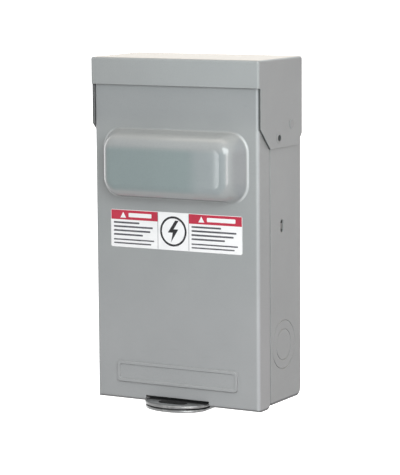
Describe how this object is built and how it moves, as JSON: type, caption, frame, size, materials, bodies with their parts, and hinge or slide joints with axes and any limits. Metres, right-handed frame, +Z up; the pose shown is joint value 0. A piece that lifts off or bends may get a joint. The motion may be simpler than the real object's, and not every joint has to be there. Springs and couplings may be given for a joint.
{
  "type": "ac disconnect box",
  "caption": "Small weatherproof steel disconnect enclosure with a hooded lift-up door, drawn dome, padlock hasp and a pull-out switch head inside.",
  "frame": {"origin": "centre of the four wall mounting holes, on the back face of the box", "axes": "+Z up the wall, +Y into the wall, +X to the right seen from the front"},
  "size_m": [0.138, 0.0815, 0.2506],
  "materials": {
    "painted_steel": "semi-gloss grey powder coat",
    "galvanised_steel": "bright zinc",
    "painted_rivet": "grey paint",
    "label_film": "printed film",
    "black_moulding": "moulded thermoset",
    "grip_moulding": "moulded thermoset",
    "shield_sheet": "insulating sheet",
    "copper": "tin-flashed copper",
    "spring_steel": "blued spring steel",
    "aluminium_lug": "as extruded",
    "zinc_screw": "zinc plated"
  },
  "bodies": {
    "enclosure": {"back_box": "painted_steel", "top_hood": "painted_steel", "hasp_plate": "galvanised_steel", "hasp_rivets": "galvanised_steel", "hood_back_rivets": "galvanised_steel", "hinge_rivet_left": "painted_rivet", "hinge_rivet_right": "painted_rivet", "hood_side_rivets": "painted_rivet", "switch_base": "black_moulding", "dead_front": "shield_sheet", "line_contact_left": "copper", "line_contact_right": "copper", "load_contact_left": "copper", "load_contact_right": "copper", "jaw_springs": "spring_steel", "line_lug_left": "aluminium_lug", "line_lug_right": "aluminium_lug", "load_lug_left": "aluminium_lug", "load_lug_right": "aluminium_lug", "ground_bar": "aluminium_lug", "base_screws": "zinc_screw", "dead_front_screws": "zinc_screw", "lug_set_screws": "zinc_screw", "ground_bar_screws": "zinc_screw", "ground_set_screws": "zinc_screw"},
    "door": {"front_door": "painted_steel", "warning_label": "label_film", "diagram_label": "label_film"},
    "pullout": {"pullout_body": "grip_moulding", "pullout_handle": "grip_moulding", "blade_rivets": "zinc_screw", "shorting_blade_left": "copper", "shorting_blade_right": "copper"}
  },
  "joints": [
    {"name": "door_hinge", "type": "hinge", "parent": "enclosure", "child": "door", "pos_m": [0, -0.0357, 0.067], "axis": [-1, 0, 0], "range_deg": [0, 65]},
    {"name": "pullout_slide", "type": "slide", "parent": "enclosure", "child": "pullout", "axis": [0, -1, 0], "range_m": [0, 0.01]}
  ]
}
